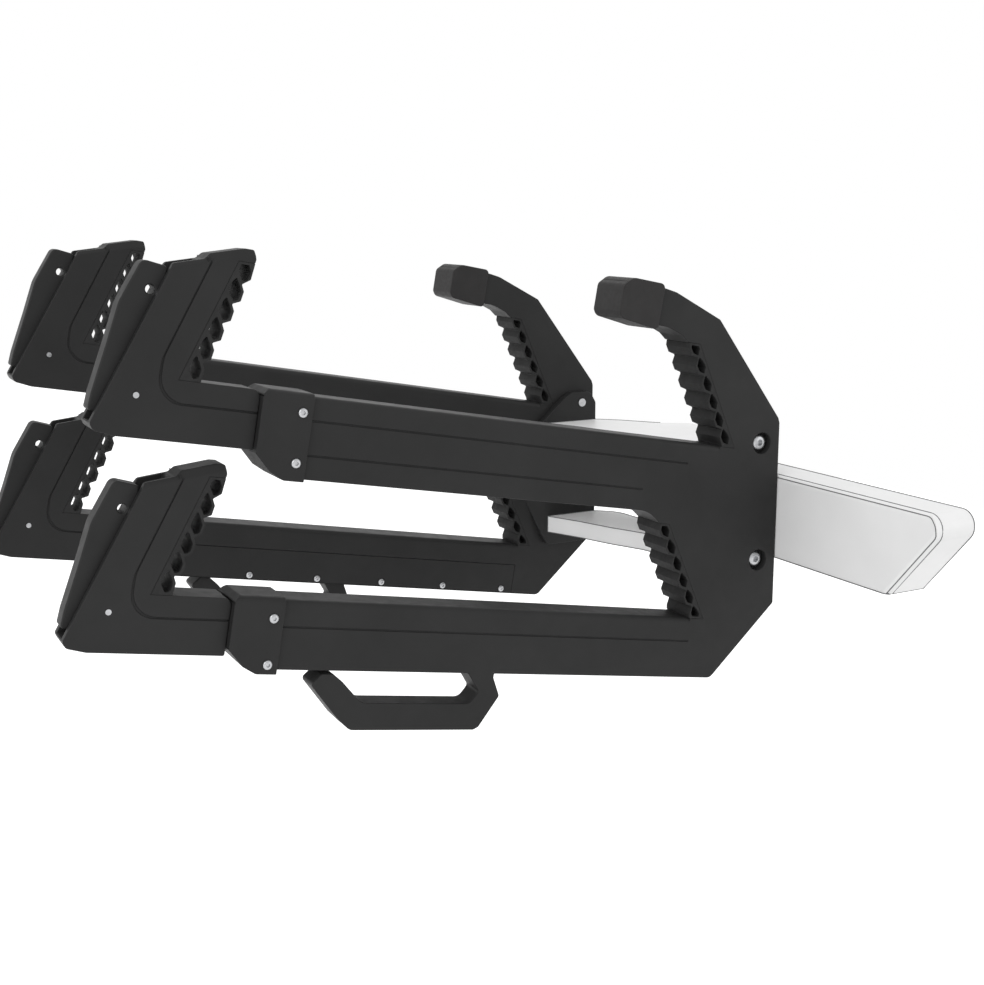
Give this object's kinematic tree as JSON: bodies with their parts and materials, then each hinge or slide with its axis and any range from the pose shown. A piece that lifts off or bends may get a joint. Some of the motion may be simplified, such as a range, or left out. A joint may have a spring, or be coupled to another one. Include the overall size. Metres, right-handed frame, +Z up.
{
  "type": "locking board rack",
  "caption": "Boat tower rack with mirrored forks that hold boards on edge in padded slots, each closed by a sliding jaw with a squeeze release lever.",
  "frame": {"origin": "centre of the mounting arm's flange face, where the rack meets the boat's tower", "axes": "+X points out of the flange at the tower, +Y runs from the front fork to the rear fork, +Z is up"},
  "size_m": [0.6378, 0.6684, 0.3521],
  "materials": {
    "dark_paint": "satin charcoal powder coat over cast aluminium",
    "dark_cap": "matt charcoal moulded cap",
    "pad_rubber": "matt charcoal soft rubber",
    "grey_cast": "plain light grey paint over cast aluminium",
    "stainless": "plain stainless steel",
    "zinc_steel": "zinc plated steel",
    "spring_steel": "spring steel wire"
  },
  "bodies": {
    "rack": {"mount_arm": "grey_cast", "front_bracket": "dark_paint", "rear_bracket": "dark_paint", "bracket_screws": "zinc_steel", "frame_bolts": "stainless", "front_frame": "dark_paint", "rear_frame": "dark_paint", "front_arm_end_cap": "dark_cap", "rear_arm_end_cap": "dark_cap", "front_arm_pad": "pad_rubber", "rear_arm_pad": "pad_rubber", "front_slot_pad": "pad_rubber", "rear_slot_pad": "pad_rubber", "front_upper_cover": "dark_paint", "front_lower_cover": "dark_paint", "rear_upper_cover": "dark_paint", "rear_lower_cover": "dark_paint", "cover_screws": "stainless", "front_upper_collar": "dark_paint", "front_lower_collar": "dark_paint", "rear_upper_collar": "dark_paint", "rear_lower_collar": "dark_paint", "collar_screws": "stainless", "front_upper_brake_strip": "zinc_steel", "front_lower_brake_strip": "zinc_steel", "rear_upper_brake_strip": "zinc_steel", "rear_lower_brake_strip": "zinc_steel"},
    "front_upper_jaw": {"front_upper_jaw": "dark_paint", "front_upper_jaw_pad": "pad_rubber", "front_upper_pins": "stainless", "front_upper_dog_spring": "spring_steel"},
    "front_upper_lever": {"front_upper_lever": "dark_paint"},
    "front_upper_pull_rod": {"front_upper_pull_rod": "zinc_steel"},
    "front_upper_brake_dog": {"front_upper_brake_dog": "zinc_steel"},
    "front_lower_jaw": {"front_lower_jaw": "dark_paint", "front_lower_jaw_pad": "pad_rubber", "front_lower_pins": "stainless", "front_lower_dog_spring": "spring_steel"},
    "front_lower_lever": {"front_lower_lever": "dark_paint"},
    "front_lower_pull_rod": {"front_lower_pull_rod": "zinc_steel"},
    "front_lower_brake_dog": {"front_lower_brake_dog": "zinc_steel"},
    "rear_upper_jaw": {"rear_upper_jaw": "dark_paint", "rear_upper_jaw_pad": "pad_rubber", "rear_upper_pins": "stainless", "rear_upper_dog_spring": "spring_steel"},
    "rear_upper_lever": {"rear_upper_lever": "dark_paint"},
    "rear_upper_pull_rod": {"rear_upper_pull_rod": "zinc_steel"},
    "rear_upper_brake_dog": {"rear_upper_brake_dog": "zinc_steel"},
    "rear_lower_jaw": {"rear_lower_jaw": "dark_paint", "rear_lower_jaw_pad": "pad_rubber", "rear_lower_pins": "stainless", "rear_lower_dog_spring": "spring_steel"},
    "rear_lower_lever": {"rear_lower_lever": "dark_paint"},
    "rear_lower_pull_rod": {"rear_lower_pull_rod": "zinc_steel"},
    "rear_lower_brake_dog": {"rear_lower_brake_dog": "zinc_steel"}
  },
  "joints": [
    {"name": "front_upper_jaw_slide", "type": "slide", "parent": "rack", "child": "front_upper_jaw", "axis": [-1, 0, 0], "range_m": [0, 0.13]},
    {"name": "front_upper_lever_pivot", "type": "hinge", "parent": "front_upper_jaw", "child": "front_upper_lever", "pos_m": [-0.61, -0.1425, 0.034], "axis": [0, 1, 0], "range_deg": [0, 8], "stiffness_Nm_per_rad": 0.5, "springref_deg": -20.05},
    {"name": "front_upper_rod_slide", "type": "slide", "parent": "front_upper_jaw", "child": "front_upper_pull_rod", "axis": [-1, 0, 0], "range_m": [0, 0.00175]},
    {"name": "front_upper_dog_pivot", "type": "hinge", "parent": "front_upper_jaw", "child": "front_upper_brake_dog", "pos_m": [-0.3483, -0.1425, 0.03], "axis": [0, 1, 0], "range_deg": [0, 12.2], "deforming": ["front_upper_dog_spring"]},
    {"name": "front_lower_jaw_slide", "type": "slide", "parent": "rack", "child": "front_lower_jaw", "axis": [-1, 0, 0], "range_m": [0, 0.13]},
    {"name": "front_lower_lever_pivot", "type": "hinge", "parent": "front_lower_jaw", "child": "front_lower_lever", "pos_m": [-0.61, -0.1425, -0.108], "axis": [0, 1, 0], "range_deg": [0, 8], "stiffness_Nm_per_rad": 0.5, "springref_deg": -20.05},
    {"name": "front_lower_rod_slide", "type": "slide", "parent": "front_lower_jaw", "child": "front_lower_pull_rod", "axis": [-1, 0, 0], "range_m": [0, 0.00175]},
    {"name": "front_lower_dog_pivot", "type": "hinge", "parent": "front_lower_jaw", "child": "front_lower_brake_dog", "pos_m": [-0.3483, -0.1425, -0.112], "axis": [0, 1, 0], "range_deg": [0, 12.2], "deforming": ["front_lower_dog_spring"]},
    {"name": "rear_upper_jaw_slide", "type": "slide", "parent": "rack", "child": "rear_upper_jaw", "axis": [-1, 0, 0], "range_m": [0, 0.13]},
    {"name": "rear_upper_lever_pivot", "type": "hinge", "parent": "rear_upper_jaw", "child": "rear_upper_lever", "pos_m": [-0.61, 0.1425, 0.034], "axis": [0, 1, 0], "range_deg": [0, 8], "stiffness_Nm_per_rad": 0.5, "springref_deg": -20.05},
    {"name": "rear_upper_rod_slide", "type": "slide", "parent": "rear_upper_jaw", "child": "rear_upper_pull_rod", "axis": [-1, 0, 0], "range_m": [0, 0.00175]},
    {"name": "rear_upper_dog_pivot", "type": "hinge", "parent": "rear_upper_jaw", "child": "rear_upper_brake_dog", "pos_m": [-0.3483, 0.1425, 0.03], "axis": [0, 1, 0], "range_deg": [0, 12.2], "deforming": ["rear_upper_dog_spring"]},
    {"name": "rear_lower_jaw_slide", "type": "slide", "parent": "rack", "child": "rear_lower_jaw", "axis": [-1, 0, 0], "range_m": [0, 0.13]},
    {"name": "rear_lower_lever_pivot", "type": "hinge", "parent": "rear_lower_jaw", "child": "rear_lower_lever", "pos_m": [-0.61, 0.1425, -0.108], "axis": [0, 1, 0], "range_deg": [0, 8], "stiffness_Nm_per_rad": 0.5, "springref_deg": -20.05},
    {"name": "rear_lower_rod_slide", "type": "slide", "parent": "rear_lower_jaw", "child": "rear_lower_pull_rod", "axis": [-1, 0, 0], "range_m": [0, 0.00175]},
    {"name": "rear_lower_dog_pivot", "type": "hinge", "parent": "rear_lower_jaw", "child": "rear_lower_brake_dog", "pos_m": [-0.3483, 0.1425, -0.112], "axis": [0, 1, 0], "range_deg": [0, 12.2], "deforming": ["rear_lower_dog_spring"]}
  ],
  "couplings": [
    {"joint": "front_upper_rod_slide", "follows": "front_upper_lever_pivot", "m_per_rad": 0.012},
    {"joint": "front_upper_dog_pivot", "follows": "front_upper_lever_pivot", "ratio": 1.5},
    {"joint": "front_lower_rod_slide", "follows": "front_lower_lever_pivot", "m_per_rad": 0.012},
    {"joint": "front_lower_dog_pivot", "follows": "front_lower_lever_pivot", "ratio": 1.5},
    {"joint": "rear_upper_rod_slide", "follows": "rear_upper_lever_pivot", "m_per_rad": 0.012},
    {"joint": "rear_upper_dog_pivot", "follows": "rear_upper_lever_pivot", "ratio": 1.5},
    {"joint": "rear_lower_rod_slide", "follows": "rear_lower_lever_pivot", "m_per_rad": 0.012},
    {"joint": "rear_lower_dog_pivot", "follows": "rear_lower_lever_pivot", "ratio": 1.5}
  ]
}
